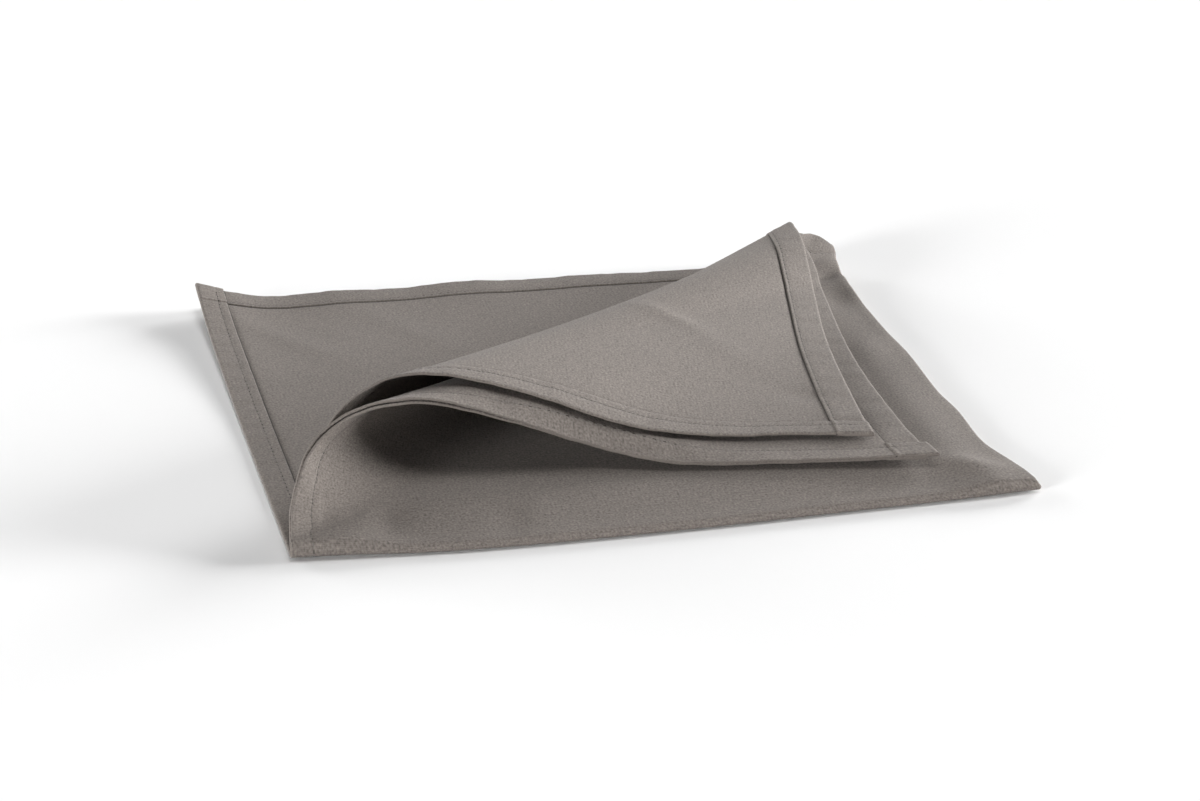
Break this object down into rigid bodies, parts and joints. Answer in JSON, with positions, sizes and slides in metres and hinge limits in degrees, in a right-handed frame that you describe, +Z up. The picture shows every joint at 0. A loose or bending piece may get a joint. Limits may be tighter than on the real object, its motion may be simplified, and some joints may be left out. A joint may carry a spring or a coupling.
{
  "type": "folded cloth napkin",
  "caption": "Square hemmed cloth napkin folded in quarters, with the open corner of its upper layers turned over into a loose diagonal roll.",
  "frame": {"origin": "centre of the bounding box at the underside of the bottom layer, on the table", "axes": "+Z up from the table; +Y from the front fold towards the open back; +X towards the right-hand fold"},
  "size_m": [0.2538, 0.261, 0.0374],
  "materials": {
    "cloth": "matte woven"
  },
  "bodies": {
    "root": {"napkin": "cloth"}
  },
  "joints": []
}
